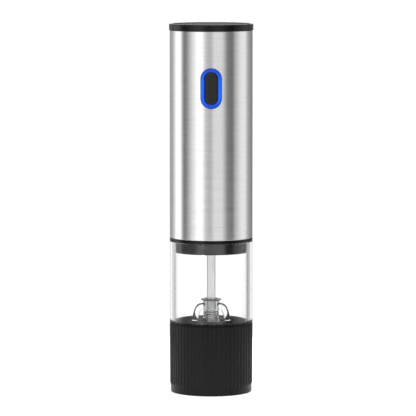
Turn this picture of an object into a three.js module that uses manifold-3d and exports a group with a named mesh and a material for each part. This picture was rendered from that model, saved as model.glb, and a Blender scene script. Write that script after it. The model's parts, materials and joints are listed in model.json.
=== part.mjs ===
// An electric pepper mill, in millimetres, with +Z up. The origin is the centre of the face that
// it stands on, and its front, with the button, faces -Y. From the bottom up it has a ribbed base
// with the grinder, a clear pepper chamber, a collar, and a steel barrel with the motor, the
// gearbox, the batteries and the switch, closed by a cap.

import * as THREE from 'three';
import { mergeVertices } from 'three/addons/utils/BufferGeometryUtils.js';
import Module from 'manifold-3d';

const wasm = await Module();
wasm.setup();

// ---- Driving dimensions ----

const BODY_R = 25;                 // barrel, chamber and collar
const ROUND = 36;                  // sides of the large round pieces
const GAP = 0.3;                   // between pieces that only rest on or beside each other
const FIT = 0.1;                   // between pieces that locate each other

const BAND_TOP_Z = 4.5;            // plain band round the foot of the base
const BASE_TOP_Z = 42;
const FLOOR_Z = 42.8;              // floor of the pepper chamber
const CHAMBER_FOOT_Z = 43;
const CHAMBER_TOP_Z = 91.2;
const COLLAR_TOP_Z = 93.2;
const BARREL_TOP_Z = 217.4;
const CAP_TOP_Z = 221.4;

const BAND_R = 24.4;
const RIB_TOP_R = 24.95;           // over the ribs at the base's top
const RIB_FOOT_R = 24.75;          // over the ribs where they end
const RIB_DEPTH = 0.35;
const RIB_COUNT = 60;
const BASE_BORE_R = 22.6;
const CHAMBER_BORE_R = 21.7;
const TRIM_R = 24.9;
const TRIM_TOP_Z = CHAMBER_FOOT_Z - GAP;

const CUP_BORE_R = 13.2;           // cup that holds the fixed burr
const CUP_R = 15.2;
const CUP_FOOT_Z = 21.6;
const CUP_TOP_Z = 41.2;
const FLOOR_HOLE_R = 7.4;
const SEAT_FOOT_Z = 33;            // skirt that plugs into the base
const STATOR_FOOT_Z = 25;
const STATOR_TOP_Z = CUP_TOP_Z - GAP;
const ROTOR_FOOT_Z = 24;
const ROTOR_NECK_Z = 36;           // where the toothed cone ends
const ROTOR_TOP_Z = 41;
const FINGER_TOP_Z = 44.1;         // where the burr carries the spring's washer
const ROTOR_FOOT_R = 9.8;
const ROTOR_NECK_R = 6.2;
const BURR_TEETH = 18;

const SHAFT_SIZE = 5.2;            // across the flats of the square drive shaft
const SHAFT_CHAMFER = 0.5;
const SHAFT_TOP_Z = 89;
const THREAD_R = 2.4;
const SOCKET_SIZE = 5.8;           // square holes that the drive shaft passes through
const SPRING_Z = [45, 49.3];
const HUB_Z = [49.5, 55.2];
const HUB_R = 5.2;
const BUSH_BORE_R = 3.75;

const SPIGOT_R = 21.35;            // part of the collar that plugs into the chamber
const SPIGOT_FOOT_Z = 84.4;
const SPIGOT_TOP_Z = CHAMBER_TOP_Z + FIT;
const KEY_Z = 87.2;                // middle of the key that stops the head turning
const KEY_TURN = -0.23;            // of the key slot, in radians from the front
const SLEEVE_R = 24.1;             // what slides inside the barrel
const BARREL_BORE_R = 24.4;

const GEAR_MODULE = 0.75;
const SUN_TEETH = 9;
const PLANET_TEETH = 12;
const RING_TEETH = SUN_TEETH + 2 * PLANET_TEETH;
const PLANET_ORBIT_R = GEAR_MODULE * (SUN_TEETH + PLANET_TEETH) / 2;
const PLANET_ANGLES = [0, 120, 240].map(THREE.MathUtils.degToRad);
const CASE_R = 14.8;
const OUTPUT_STAGE_Z = 91.9;       // foot of the planets next to the output
const INPUT_STAGE_Z = 99.6;        // foot of the planets next to the motor
const GEAR_WIDTH = 4.6;
const GEARBOX_TOP_Z = 105.4;
const GEARBOX_SCREW_X = 17.4;

const MOTOR_R = 12.2;
const MOTOR_Z = [107.7, 140];

const HOLDER_FOOT_Z = 148;         // battery holder
const HOLDER_TOP_Z = 205.9;
const WELL_FOOT_Z = 151.5;
const CELL_FOOT_Z = 155.3;
const CELL_R = 7.1;
const CELL_LENGTH = 50.2;
const CELL_SPACING = 7.9;          // of a cell's axis from each centre plane
const CELL_SHIFT_Y = 0.5;          // moves all the cells back, away from the switch board

const SWITCH_Z = 183.8;            // centre of the button and of the light ring
const RING_SIZE = [12.7, 24];
const BUTTON_SIZE = [7.7, 18.9];
const BUTTON_TRAVEL = 0.8;
const BOARD_Y = -18.2;             // front face of the switch board
const BOARD_SCREW_DZ = 15.4;

// ---- Materials ----

function material(color, roughness, metalness, opacity = 1) {
  return new THREE.MeshStandardMaterial({
    color, roughness, metalness, opacity, transparent: opacity < 1,
  });
}

const brushedSteel = material(0xc4c4c2, 0.32, 1);
const blackPlastic = material(0x1c1c1e, 0.42, 0);
const glossBlack = material(0x111113, 0.18, 0);
const clearAcrylic = material(0xf4f7f8, 0.04, 0, 0.25);
const shaftSteel = material(0xb9babb, 0.3, 1);
const springSteel = material(0x9a9a98, 0.28, 1);
const ceramic = material(0xe9e6df, 0.5, 0);
const nylon = material(0xe8e4d6, 0.5, 0);
const bronze = material(0xa87a45, 0.4, 1);
const zincSteel = material(0xa8abad, 0.4, 0.9);
const blueLight = material(0x1f63ea, 0.25, 0);
const cellJacket = material(0x2f3336, 0.35, 0.3);
const boardGreen = material(0x1e5a36, 0.5, 0);
const lampWhite = material(0xdfe9ff, 0.3, 0);
const redInsulation = material(0xa52420, 0.5, 0);
const blackInsulation = material(0x19191b, 0.5, 0);

// ---- Closed shapes ----

// Joins a geometry's shared corners, drops triangles that have no area, and turns its faces out.
function weld(geometry) {
  geometry.deleteAttribute('normal');
  geometry.deleteAttribute('uv');
  const merged = mergeVertices(geometry, 1e-4);
  const corner = [0, 1, 2].map(() => new THREE.Vector3());
  const kept = [];
  let volume = 0;
  for (let at = 0; at < merged.index.count; at += 3) {
    const [a, b, c] = [0, 1, 2].map((k) => merged.index.getX(at + k));
    if (a === b || b === c || c === a) {
      continue;
    }
    [a, b, c].forEach((v, k) => corner[k].fromBufferAttribute(merged.attributes.position, v));
    volume += corner[0].dot(corner[1].cross(corner[2]));
    kept.push(a, b, c);
  }
  merged.setIndex(volume < 0 ? kept.reverse() : kept);
  return merged;
}

function solid(geometry) {
  const welded = weld(geometry);
  const vertProperties = new Float32Array(welded.attributes.position.array);
  const triVerts = new Uint32Array(welded.index.array);
  return new wasm.Manifold(new wasm.Mesh({ numProp: 3, vertProperties, triVerts }));
}

function surface(manifold) {
  const mesh = manifold.getMesh();
  const geometry = new THREE.BufferGeometry();
  geometry.setAttribute('position', new THREE.BufferAttribute(mesh.vertProperties, 3));
  geometry.setIndex(new THREE.BufferAttribute(mesh.triVerts, 1));
  return geometry;
}

// Turns a profile of [radius, z] points round the Z axis.
function turned(profile, segments = ROUND) {
  const points = profile.map(([r, z]) => new THREE.Vector2(r, z));
  return new THREE.LatheGeometry(points, segments).rotateX(Math.PI / 2);
}

function tube(innerR, outerR, low, high, segments = ROUND) {
  const profile = [[innerR, low], [outerR, low], [outerR, high], [innerR, high], [innerR, low]];
  return turned(profile, segments);
}

function disc(radius, low, high, segments = 24) {
  return turned([[0, low], [radius, low], [radius, high], [0, high]], segments);
}

function box(size, centre) {
  return new THREE.BoxGeometry(...size).translate(...centre);
}

// A disc whose axis runs along Y.
function rod(radius, back, front, x, z, segments = 12) {
  return disc(radius, back, front, segments).rotateX(Math.PI / 2).translate(x, 0, z);
}

function extruded(shape, low, high) {
  const options = { depth: high - low, bevelEnabled: false, curveSegments: 8 };
  return new THREE.ExtrudeGeometry(shape, options).translate(0, 0, low);
}

function circlePoints(radius, count) {
  return Array.from({ length: count }, (_, n) => {
    const angle = 2 * Math.PI * n / count - Math.PI / 2;
    return new THREE.Vector2(radius * Math.cos(angle), radius * Math.sin(angle));
  });
}

// A square with chamfered corners, across the flats.
function squareShape(size, chamfer) {
  const half = size / 2;
  const flat = half - chamfer;
  const corners = [
    [half, -flat], [half, flat], [flat, half], [-flat, half],
    [-half, flat], [-half, -flat], [-flat, -half], [flat, -half],
  ];
  return new THREE.Shape(corners.map(([x, y]) => new THREE.Vector2(x, y)));
}

function squareHole(low, high) {
  return solid(extruded(squareShape(SOCKET_SIZE, SHAFT_CHAMFER), low, high));
}

// A prism whose outline is a rounded slot standing in the XZ plane, from y = front back to y = back.
function stadium([width, height], front, back, z) {
  const radius = width / 2;
  const straight = height / 2 - radius;
  const shape = new THREE.Shape();
  shape.moveTo(radius, -straight);
  shape.lineTo(radius, straight);
  shape.absarc(0, straight, radius, 0, Math.PI);
  shape.lineTo(-radius, -straight);
  shape.absarc(0, -straight, radius, Math.PI, 2 * Math.PI);
  return extruded(shape, 0, back - front).rotateX(Math.PI / 2).translate(0, back, z);
}

// The part of a shape between two upright cylinders round the mill's axis.
function curvedBetween(shape, innerR, outerR, low, high) {
  return shape.intersect(solid(tube(innerR, outerR, low, high)));
}

// A coil of wire, as a section swept along a helix whose radius runs from one value to another.
class Helix extends THREE.Curve {
  constructor(radii, heights, turns) {
    super();
    Object.assign(this, { radii, heights, turns });
  }

  getPoint(t) {
    const radius = THREE.MathUtils.lerp(...this.radii, t);
    const angle = 2 * Math.PI * this.turns * t;
    const z = THREE.MathUtils.lerp(...this.heights, t);
    return new THREE.Vector3(radius * Math.cos(angle), radius * Math.sin(angle), z);
  }
}

function wire(curve, radius, steps, sides = 6) {
  const section = new THREE.Shape(circlePoints(radius, sides));
  return new THREE.ExtrudeGeometry(section, { extrudePath: curve, steps, bevelEnabled: false });
}

// ---- Gears ----

const ADDENDUM = 0.6;
const DEDENDUM = 0.85;
const TOOTH_HALF = 0.47;           // half of a tooth's width on the pitch circle
const FLANK_SLOPE = Math.tan(THREE.MathUtils.degToRad(20));

// Corners of a gear's outline. A tooth is centred on the +X axis. An inner gear points inwards.
function gearOutline(teeth, inward = false) {
  const pitchR = GEAR_MODULE * teeth / 2;
  const side = inward ? -1 : 1;
  const rootR = pitchR - side * DEDENDUM;
  const tipR = pitchR + side * ADDENDUM;
  const rootHalf = (TOOTH_HALF + DEDENDUM * FLANK_SLOPE) / rootR;
  const tipHalf = (TOOTH_HALF - ADDENDUM * FLANK_SLOPE) / tipR;
  const corners = [[rootR, -rootHalf], [tipR, -tipHalf], [tipR, tipHalf], [rootR, rootHalf]];
  const points = [];
  for (let tooth = 0; tooth < teeth; tooth += 1) {
    const centre = 2 * Math.PI * tooth / teeth;
    for (const [radius, offset] of corners) {
      const angle = centre + offset;
      points.push(new THREE.Vector2(radius * Math.cos(angle), radius * Math.sin(angle)));
    }
  }
  return points;
}

function planetGear() {
  const shape = new THREE.Shape(gearOutline(PLANET_TEETH));
  shape.holes.push(new THREE.Path(circlePoints(1.4, 10)));
  return weld(extruded(shape, 0, GEAR_WIDTH));
}

// The turn that puts a planet in mesh with a sun whose tooth is on the +X axis.
function planetTurn(orbitAngle) {
  const sunPhase = SUN_TEETH * orbitAngle / (2 * Math.PI);
  return orbitAngle + Math.PI - 2 * Math.PI / PLANET_TEETH * (0.5 - sunPhase);
}

// A carrier's disc, with a pin for each planet.
function carrier(discZ, pinTopZ) {
  let shape = solid(disc(10.6, ...discZ));
  for (const angle of PLANET_ANGLES) {
    const at = [PLANET_ORBIT_R * Math.cos(angle), PLANET_ORBIT_R * Math.sin(angle), 0];
    shape = shape.add(solid(disc(1.15, discZ[0] + 0.5, pinTopZ, 10).translate(...at)));
  }
  return shape;
}

function outputCarrier() {
  const discZ = [OUTPUT_STAGE_Z - 2.2, OUTPUT_STAGE_Z - 0.4];
  const shaft = solid(disc(5, SPIGOT_FOOT_Z + 0.6, discZ[0] + 0.3));
  const whole = carrier(discZ, OUTPUT_STAGE_Z + GEAR_WIDTH + 0.4).add(shaft);
  return surface(whole.subtract(squareHole(SPIGOT_FOOT_Z - 1, SHAFT_TOP_Z + GAP)));
}

function inputCarrier() {
  const sunShape = new THREE.Shape(gearOutline(SUN_TEETH));
  const discZ = [INPUT_STAGE_Z - 2.1, INPUT_STAGE_Z - 0.4];
  const sun = solid(extruded(sunShape, OUTPUT_STAGE_Z + 0.2, discZ[0] + 0.4));
  return surface(carrier(discZ, INPUT_STAGE_Z + GEAR_WIDTH + 0.4).add(sun));
}

function motorPinion() {
  const topZ = INPUT_STAGE_Z + GEAR_WIDTH + 0.4;
  const gear = solid(extruded(new THREE.Shape(gearOutline(SUN_TEETH)), INPUT_STAGE_Z, topZ));
  return surface(gear.add(solid(disc(1, topZ - 0.6, MOTOR_Z[0] + 3.8, 12))));
}

function gearboxCase() {
  const shape = new THREE.Shape(circlePoints(CASE_R, ROUND));
  shape.holes.push(new THREE.Path(gearOutline(RING_TEETH, true)));
  const teethFootZ = OUTPUT_STAGE_Z - 2.7;
  const ringGear = solid(extruded(shape, teethFootZ, GEARBOX_TOP_Z));
  return surface(ringGear.add(solid(tube(7.2, CASE_R, teethFootZ - 2.2, teethFootZ + 0.1))));
}

// The plate between the gearbox and the motor, with an ear for each screw.
function gearboxPlate() {
  const low = GEARBOX_TOP_Z + FIT;
  const high = low + 2;
  let plate = solid(disc(CASE_R, low, high));
  plate = plate.add(solid(box([2 * GEARBOX_SCREW_X, 6, 2], [0, 0, (low + high) / 2])));
  for (const x of [-GEARBOX_SCREW_X, GEARBOX_SCREW_X]) {
    plate = plate.add(solid(disc(3, low, high, 16).translate(x, 0, 0)));
    plate = plate.subtract(solid(disc(1.5, low - 1, high + 1, 12).translate(x, 0, 0)));
  }
  return surface(plate.subtract(solid(disc(3.3, low - 1, high + 1, 24))));
}

// A slotted screw that hangs from the underside of its head, at z = 0.
function screw(headR, headHeight, shankR, length) {
  const blank = solid(turned([
    [0, -length], [shankR, -length], [shankR, 0], [headR, 0], [headR, headHeight * 0.6],
    [headR * 0.7, headHeight], [0, headHeight],
  ], 12));
  return surface(blank.subtract(solid(box([3 * headR, 0.5, 1], [0, 0, headHeight]))));
}

// ---- Base and grinder ----

// The ribbed skirt. Its ribs are narrower towards the foot, and end at a plain band.
function baseRing() {
  const step = 2 * Math.PI / RIB_COUNT;
  const corners = [[0, -0.3], [0, 0.3], [RIB_DEPTH, 0.5]];
  const outline = [];
  for (let rib = 0; rib < RIB_COUNT; rib += 1) {
    for (const [depth, offset] of corners) {
      const angle = (rib + offset) * step;
      const radius = RIB_TOP_R - depth;
      outline.push(new THREE.Vector2(radius * Math.cos(angle), radius * Math.sin(angle)));
    }
  }
  const shape = new THREE.Shape(outline);
  shape.holes.push(new THREE.Path(circlePoints(BASE_BORE_R, ROUND)));
  const ribbed = extruded(shape, BAND_TOP_Z, BASE_TOP_Z);
  const place = ribbed.attributes.position;
  for (let at = 0; at < place.count; at += 1) {
    const outer = Math.hypot(place.getX(at), place.getY(at)) > BASE_BORE_R + 0.5;
    const low = outer && place.getZ(at) < (BAND_TOP_Z + BASE_TOP_Z) / 2;
    const scale = low ? RIB_FOOT_R / RIB_TOP_R : 1;
    place.setXY(at, place.getX(at) * scale, place.getY(at) * scale);
  }
  const band = turned([
    [BASE_BORE_R, 0], [BAND_R - 0.5, 0], [BAND_R, 0.5], [BAND_R, BAND_TOP_Z + 0.2],
    [BASE_BORE_R, BAND_TOP_Z + 0.2], [BASE_BORE_R, 0],
  ]);
  return surface(solid(ribbed).add(solid(band)));
}

// The chamber's floor, with the trim edge outside, the skirt that plugs into the base, and the cup
// for the fixed burr.
function grinderSeat() {
  const undersideZ = CUP_TOP_Z - 1;
  return weld(turned([
    [FLOOR_HOLE_R, CUP_TOP_Z], [CUP_BORE_R, CUP_TOP_Z], [CUP_BORE_R, CUP_FOOT_Z],
    [CUP_R, CUP_FOOT_Z], [CUP_R, undersideZ], [20.6, undersideZ], [20.6, SEAT_FOOT_Z],
    [BASE_BORE_R - GAP, SEAT_FOOT_Z], [BASE_BORE_R - GAP, BASE_TOP_Z + FIT],
    [TRIM_R, BASE_TOP_Z + FIT], [TRIM_R, TRIM_TOP_Z], [CHAMBER_BORE_R - GAP, TRIM_TOP_Z],
    [CHAMBER_BORE_R - 0.7, FLOOR_Z], [FLOOR_HOLE_R, FLOOR_Z], [FLOOR_HOLE_R, CUP_TOP_Z],
  ]));
}

// A toothed burr outline: each tooth rises slowly and drops steeply.
function burrOutline(rootR, tipR) {
  const points = [];
  for (let tooth = 0; tooth < BURR_TEETH; tooth += 1) {
    for (const [radius, share] of [[rootR, 0], [tipR, 0.7], [tipR, 0.85]]) {
      const angle = 2 * Math.PI * (tooth + share) / BURR_TEETH;
      points.push(new THREE.Vector2(radius * Math.cos(angle), radius * Math.sin(angle)));
    }
  }
  return points;
}

// Scales and twists a prism as it rises, which makes straight teeth into conical slanted ones.
function coned(geometry, low, high, topScale, twist, chosen = () => true) {
  const place = geometry.attributes.position;
  for (let at = 0; at < place.count; at += 1) {
    const [x, y, z] = [place.getX(at), place.getY(at), place.getZ(at)];
    if (!chosen(Math.hypot(x, y))) {
      continue;
    }
    const share = (z - low) / (high - low);
    const scale = 1 + (topScale - 1) * share;
    const [c, s] = [Math.cos(twist * share) * scale, Math.sin(twist * share) * scale];
    place.setXY(at, c * x - s * y, s * x + c * y);
  }
  return geometry;
}

function statorBurr() {
  const shape = new THREE.Shape(circlePoints(CUP_BORE_R - FIT, ROUND));
  shape.holes.push(new THREE.Path(burrOutline(11.3, 10.5)));
  const ring = extruded(shape, STATOR_FOOT_Z, STATOR_TOP_Z);
  const isTooth = (radius) => radius < 12;
  return weld(coned(ring, STATOR_FOOT_Z, STATOR_TOP_Z, 0.92, 0.1, isTooth));
}

// The turning burr: a toothed cone, a neck, and two fingers that lift the spring's washer.
function rotorBurr() {
  const teeth = extruded(
    new THREE.Shape(burrOutline(ROTOR_FOOT_R - 0.9, ROTOR_FOOT_R)), ROTOR_FOOT_Z, ROTOR_NECK_Z);
  const scale = ROTOR_NECK_R / ROTOR_FOOT_R;
  let burr = solid(coned(teeth, ROTOR_FOOT_Z, ROTOR_NECK_Z, scale, -0.35));
  burr = burr.add(solid(disc(5.2, ROTOR_NECK_Z - 0.5, ROTOR_TOP_Z)));
  const finger = new THREE.Shape([
    [3.2, ROTOR_TOP_Z - 1], [4.6, ROTOR_TOP_Z - 1], [5.4, FINGER_TOP_Z - 1],
    [4.2, FINGER_TOP_Z], [3.2, FINGER_TOP_Z],
  ].map(([x, z]) => new THREE.Vector2(x, z)));
  for (const turn of [0, Math.PI]) {
    const blade = extruded(finger, -1.3, 1.3).rotateX(Math.PI / 2).rotateZ(turn);
    burr = burr.add(solid(blade));
  }
  return surface(burr.subtract(squareHole(ROTOR_FOOT_Z - 1, FINGER_TOP_Z + 1)));
}

// The arched bridge over the burrs, whose hub steadies the drive shaft.
function bridge() {
  const [lowZ, highZ] = HUB_Z;
  const arch = new THREE.Shape();
  arch.moveTo(HUB_R - 0.6, highZ - 1.8);
  arch.bezierCurveTo(8.6, highZ - 1.5, 9.7, highZ - 3.6, 10.6, highZ - 7);
  arch.lineTo(11.7, FLOOR_Z + FIT);
  arch.lineTo(7.8, FLOOR_Z + FIT);
  arch.lineTo(7.1, lowZ - 3);
  arch.quadraticCurveTo(6.5, lowZ - 0.3, HUB_R - 0.6, lowZ + 0.1);
  let whole = solid(disc(HUB_R, ...HUB_Z));
  for (const turn of [0, Math.PI]) {
    const leg = extruded(arch, -2.2, 2.2).rotateX(Math.PI / 2).rotateZ(turn);
    whole = whole.add(solid(leg));
  }
  return surface(whole.subtract(solid(disc(4.6 + FIT, HUB_Z[0] - 1, HUB_Z[1] + 1))));
}

function driveShaft() {
  const bar = solid(extruded(squareShape(SHAFT_SIZE, SHAFT_CHAMFER), 24.2, SHAFT_TOP_Z));
  return surface(bar.add(solid(turned([
    [0, 9], [THREAD_R - 0.5, 9], [THREAD_R, 9.5], [THREAD_R, 24.5], [0, 24.5],
  ], 16))));
}

function squareWasher(radius, low, high) {
  return surface(solid(disc(radius, low, high, 32)).subtract(squareHole(low - 1, high + 1)));
}

// The grind knob, reached from below. Its stem carries the brass nut that pushes the burr up.
function adjustKnob() {
  const fluted = new THREE.Shape(circlePoints(11.6, 48).map((point, n) => {
    const flute = 0.45 * (1 + Math.cos(2 * Math.PI * n * 12 / 48));
    return point.setLength(11.6 - flute);
  }));
  let knob = solid(extruded(fluted, 3, 13));
  knob = knob.add(solid(disc(6.6, 12, 23.6)));
  knob = knob.subtract(solid(disc(THREAD_R + GAP, 5, 30, 16)));
  return surface(knob.subtract(solid(disc(4.75, 19.4, 30, 6))));
}

// ---- Chamber and head ----

// The clear chamber, with the key that stops the head turning on it.
function chamber() {
  const wall = solid(turned([
    [CHAMBER_BORE_R, CHAMBER_FOOT_Z], [BODY_R - 0.3, CHAMBER_FOOT_Z],
    [BODY_R, CHAMBER_FOOT_Z + 0.3], [BODY_R, CHAMBER_TOP_Z - 0.3],
    [BODY_R - 0.3, CHAMBER_TOP_Z], [CHAMBER_BORE_R, CHAMBER_TOP_Z],
    [CHAMBER_BORE_R, CHAMBER_FOOT_Z],
  ]));
  const key = box([1, 1.6, 3.6], [0, -CHAMBER_BORE_R, KEY_Z]).rotateZ(KEY_TURN);
  return surface(wall.add(solid(key)));
}

// The collar, its keyed spigot below, and above it the sleeve that the barrel fits over.
function motorHousing() {
  const floorTopZ = SPIGOT_FOOT_Z + 1.8;
  const spigotBoreR = SPIGOT_R - 1.8;
  const sleeveBoreR = SLEEVE_R - 1.5;
  let housing = solid(turned([
    [7, SPIGOT_FOOT_Z], [SPIGOT_R, SPIGOT_FOOT_Z], [SPIGOT_R, SPIGOT_TOP_Z],
    [BODY_R, SPIGOT_TOP_Z], [BODY_R, COLLAR_TOP_Z], [SLEEVE_R, COLLAR_TOP_Z],
    [SLEEVE_R, HOLDER_FOOT_Z - FIT], [sleeveBoreR, HOLDER_FOOT_Z - FIT],
    [sleeveBoreR, COLLAR_TOP_Z], [spigotBoreR, SPIGOT_TOP_Z], [spigotBoreR, floorTopZ],
    [7, floorTopZ], [7, SPIGOT_FOOT_Z],
  ]));
  for (const x of [-GEARBOX_SCREW_X, GEARBOX_SCREW_X]) {
    const post = solid(disc(2.5, floorTopZ - 0.5, GEARBOX_TOP_Z, 16).translate(x, 0, 0));
    const hole = solid(disc(1.5, 95, GEARBOX_TOP_Z + 1, 12).translate(x, 0, 0));
    housing = housing.add(post).subtract(hole);
  }
  const slotHeight = SPIGOT_TOP_Z - SPIGOT_FOOT_Z;
  const slot = box([1.6, 3, slotHeight], [0, -SPIGOT_R, SPIGOT_TOP_Z - slotHeight / 2 - 0.3]);
  housing = housing.subtract(solid(slot.rotateZ(KEY_TURN)));
  for (const turn of [0.16, 0.2, 0.24]) {
    const tick = box([0.4, 0.4, 2.4], [0, -SPIGOT_R, KEY_Z]).rotateZ(turn);
    housing = housing.add(solid(tick));
  }
  return surface(housing);
}

function motorCan() {
  const [low, high] = MOTOR_Z;
  const bossFootZ = GEARBOX_TOP_Z + 0.5;
  const can = solid(turned([
    [0, bossFootZ], [3, bossFootZ], [3, low], [MOTOR_R - 1, low], [MOTOR_R, low + 1],
    [MOTOR_R, high], [0, high],
  ], 28));
  return surface(can.subtract(solid(disc(1.3, bossFootZ - 1, low + 4.8, 12))));
}

function motorEndCap() {
  const low = MOTOR_Z[1] + FIT;
  let cap = solid(turned([[0, low], [11.4, low], [11.4, low + 1.6], [10.6, low + 2.4],
    [3.2, low + 2.4], [3.2, low + 3.6], [0, low + 3.6]], 24));
  for (const x of [-6.5, 6.5]) {
    cap = cap.add(solid(box([2.4, 0.6, 4], [x, 0, low + 4])));
  }
  return surface(cap);
}

const CELL_ROWS_Y = [-CELL_SPACING + CELL_SHIFT_Y, CELL_SPACING + CELL_SHIFT_Y];
const CELL_PLACES = [
  [-CELL_SPACING, CELL_ROWS_Y[0]], [CELL_SPACING, CELL_ROWS_Y[0]],
  [CELL_SPACING, CELL_ROWS_Y[1]], [-CELL_SPACING, CELL_ROWS_Y[1]],
];

// The block with a well for each cell, cut flat in front for the switch board.
function batteryBox() {
  let holder = solid(disc(19.6, HOLDER_FOOT_Z, HOLDER_TOP_Z, 32));
  holder = holder.subtract(solid(box([50, 10, 70], [0, -20.8, 180])));
  const flange = solid(disc(SLEEVE_R, HOLDER_FOOT_Z, HOLDER_FOOT_Z + 2, ROUND));
  const wirePass = solid(box([20, 10, 10], [0, -22, HOLDER_FOOT_Z]));
  holder = holder.add(flange.subtract(wirePass));
  for (const dz of [-BOARD_SCREW_DZ, BOARD_SCREW_DZ]) {
    const z = SWITCH_Z + dz;
    holder = holder.add(solid(rod(2.2, 15, 16.8, 0, z)));
    holder = holder.subtract(solid(rod(1.1, 13.5, 18, 0, z, 8)));
  }
  for (const [x, y] of CELL_PLACES) {
    const well = disc(CELL_R + 0.35, WELL_FOOT_Z, HOLDER_TOP_Z + 1, 16).translate(x, y, 0);
    holder = holder.subtract(solid(well));
  }
  return surface(holder);
}

// An AA cell, with its button end up.
function cell() {
  return weld(turned([
    [0, 0], [5.6, 0], [CELL_R, 0.6], [CELL_R, CELL_LENGTH - 1.9], [CELL_R - 0.8, CELL_LENGTH - 1.3],
    [2.7, CELL_LENGTH - 1.3], [2.7, CELL_LENGTH], [0, CELL_LENGTH],
  ], 16));
}

function contactPlate() {
  return weld(tube(1.2, 4.6, 0, 0.5, 16));
}

// The light ring: a translucent bezel that follows the barrel, with a lip behind its wall.
function lightRing() {
  const [width, height] = RING_SIZE;
  const bezel = curvedBetween(
    solid(stadium(RING_SIZE, -30, -15, SWITCH_Z)), 22.6, BODY_R + 0.2, 160, 206);
  const lip = curvedBetween(
    solid(stadium([width + 2.2, height + 2.2], -30, -15, SWITCH_Z)), 22.6, 24.15, 160, 206);
  const opening = BUTTON_SIZE.map((size) => size + 0.6);
  return surface(bezel.add(lip).subtract(solid(stadium(opening, -31, -14, SWITCH_Z))));
}

function button() {
  const cap = solid(stadium(BUTTON_SIZE, -30, -22.6, SWITCH_Z));
  return surface(curvedBetween(cap, 20, BODY_R + 0.3, 160, 206));
}

function barrel() {
  const wall = solid(tube(BARREL_BORE_R, BODY_R, COLLAR_TOP_Z + FIT, BARREL_TOP_Z, 60));
  const opening = RING_SIZE.map((size) => size + 0.3);
  return surface(wall.subtract(solid(stadium(opening, -30, -15, SWITCH_Z))));
}

function switchBoard() {
  let board = solid(box([12, 1.2, 36], [0, BOARD_Y + 0.6, SWITCH_Z]));
  for (const dz of [-BOARD_SCREW_DZ, BOARD_SCREW_DZ]) {
    board = board.subtract(solid(rod(1.2, 15, 20, 0, SWITCH_Z + dz, 8)));
  }
  return surface(board);
}

function tactSwitch() {
  const front = BOARD_Y - FIT;
  const body = solid(box([6, 2.6, 6], [0, front - 1.3, SWITCH_Z]));
  return surface(body.add(solid(rod(1.6, 18.4, -BOARD_Y + 3.3, 0, SWITCH_Z))));
}

function lamp(z) {
  return box([3, 1.2, 1.6], [0, BOARD_Y - FIT - 0.6, z]);
}

function motorWire(side) {
  const route = [[6.5, -1.6, 145.4], [6.2, -8, 146.2], [5, -15, 146], [3.4, -19.9, 148.6],
    [3, -19.9, 156], [3, -19.7, 164.2]];
  const points = route.map(([x, y, z]) => new THREE.Vector3(side * x, y, z));
  return weld(wire(new THREE.CatmullRomCurve3(points), 0.7, 18));
}

// ---- Lid ----

// The plate over the cells. It is keyed to the battery holder, and the cap turns on its pin.
function contactCarrier() {
  return weld(turned([
    [0, 207.1], [21, 207.1], [21, 208.7], [6, 208.7], [6, 209.6], [2.2, 209.6], [2.2, 214.5],
    [0, 214.5],
  ], 24));
}

function contactStrip() {
  const shape = new THREE.Shape();
  shape.moveTo(CELL_SPACING, -3.6);
  shape.absarc(CELL_SPACING, 0, 3.6, -Math.PI / 2, Math.PI / 2);
  shape.absarc(-CELL_SPACING, 0, 3.6, Math.PI / 2, 1.5 * Math.PI);
  return weld(extruded(shape, 206.4, 206.9));
}

function topCap() {
  return weld(turned([
    [2.5, 210], [4.2, 210], [4.2, 219.2], [22.6, 219.2], [22.6, 211], [SLEEVE_R, 211],
    [SLEEVE_R, BARREL_TOP_Z + FIT], [25.3, BARREL_TOP_Z + FIT], [25.3, CAP_TOP_Z - 0.8],
    [24.5, CAP_TOP_Z], [23.6, CAP_TOP_Z], [23.2, CAP_TOP_Z - 0.4], [0, CAP_TOP_Z - 0.4],
    [0, 215], [2.5, 215], [2.5, 210],
  ]));
}

// ---- Assembly ----

const mill = new THREE.Group();

function assembly(name, parent = mill) {
  const group = new THREE.Group();
  group.name = name;
  parent.add(group);
  return group;
}

function add(group, name, geometry, look) {
  const mesh = new THREE.Mesh(geometry, look);
  mesh.name = name;
  group.add(mesh);
  return mesh;
}

const base = assembly('base');
add(base, 'base_ring', baseRing(), blackPlastic);
add(base, 'grinder_seat', grinderSeat(), blackPlastic);
add(base, 'stator_burr', statorBurr(), ceramic);
add(base, 'stator_retainer', weld(tube(11.4, CUP_BORE_R - FIT, 22.2, 24.7, 32)), blackPlastic);
add(base, 'chamber', chamber(), clearAcrylic);
add(base, 'bridge', bridge(), clearAcrylic);
add(base, 'hub_bush', weld(tube(BUSH_BORE_R, 4.6, HUB_Z[0] + 0.2, HUB_Z[1] - 0.1, 20)), clearAcrylic);

const spindle = assembly('spindle');
add(spindle, 'drive_shaft', driveShaft(), shaftSteel);
add(spindle, 'shaft_washer', squareWasher(6.25, HUB_Z[1] + 0.2, HUB_Z[1] + 1), springSteel);
const springCoil = new Helix([4.45, 4.45], [SPRING_Z[0] + 0.5, SPRING_Z[1] - 0.5], 3);
add(spindle, 'burr_spring', weld(wire(springCoil, 0.45, 33, 5)), springSteel);
add(spindle, 'rotor_burr', rotorBurr(), ceramic);
add(spindle, 'spring_washer', squareWasher(
  4.9, FINGER_TOP_Z + 0.2, FINGER_TOP_Z + 0.7), springSteel);
add(spindle, 'adjust_knob', adjustKnob(), blackPlastic);
add(spindle, 'knob_nut', surface(
  solid(disc(4.4, 19.7, 23.2, 6)).subtract(solid(disc(THREAD_R + 0.15, 19, 24, 16)))), bronze);

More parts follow.
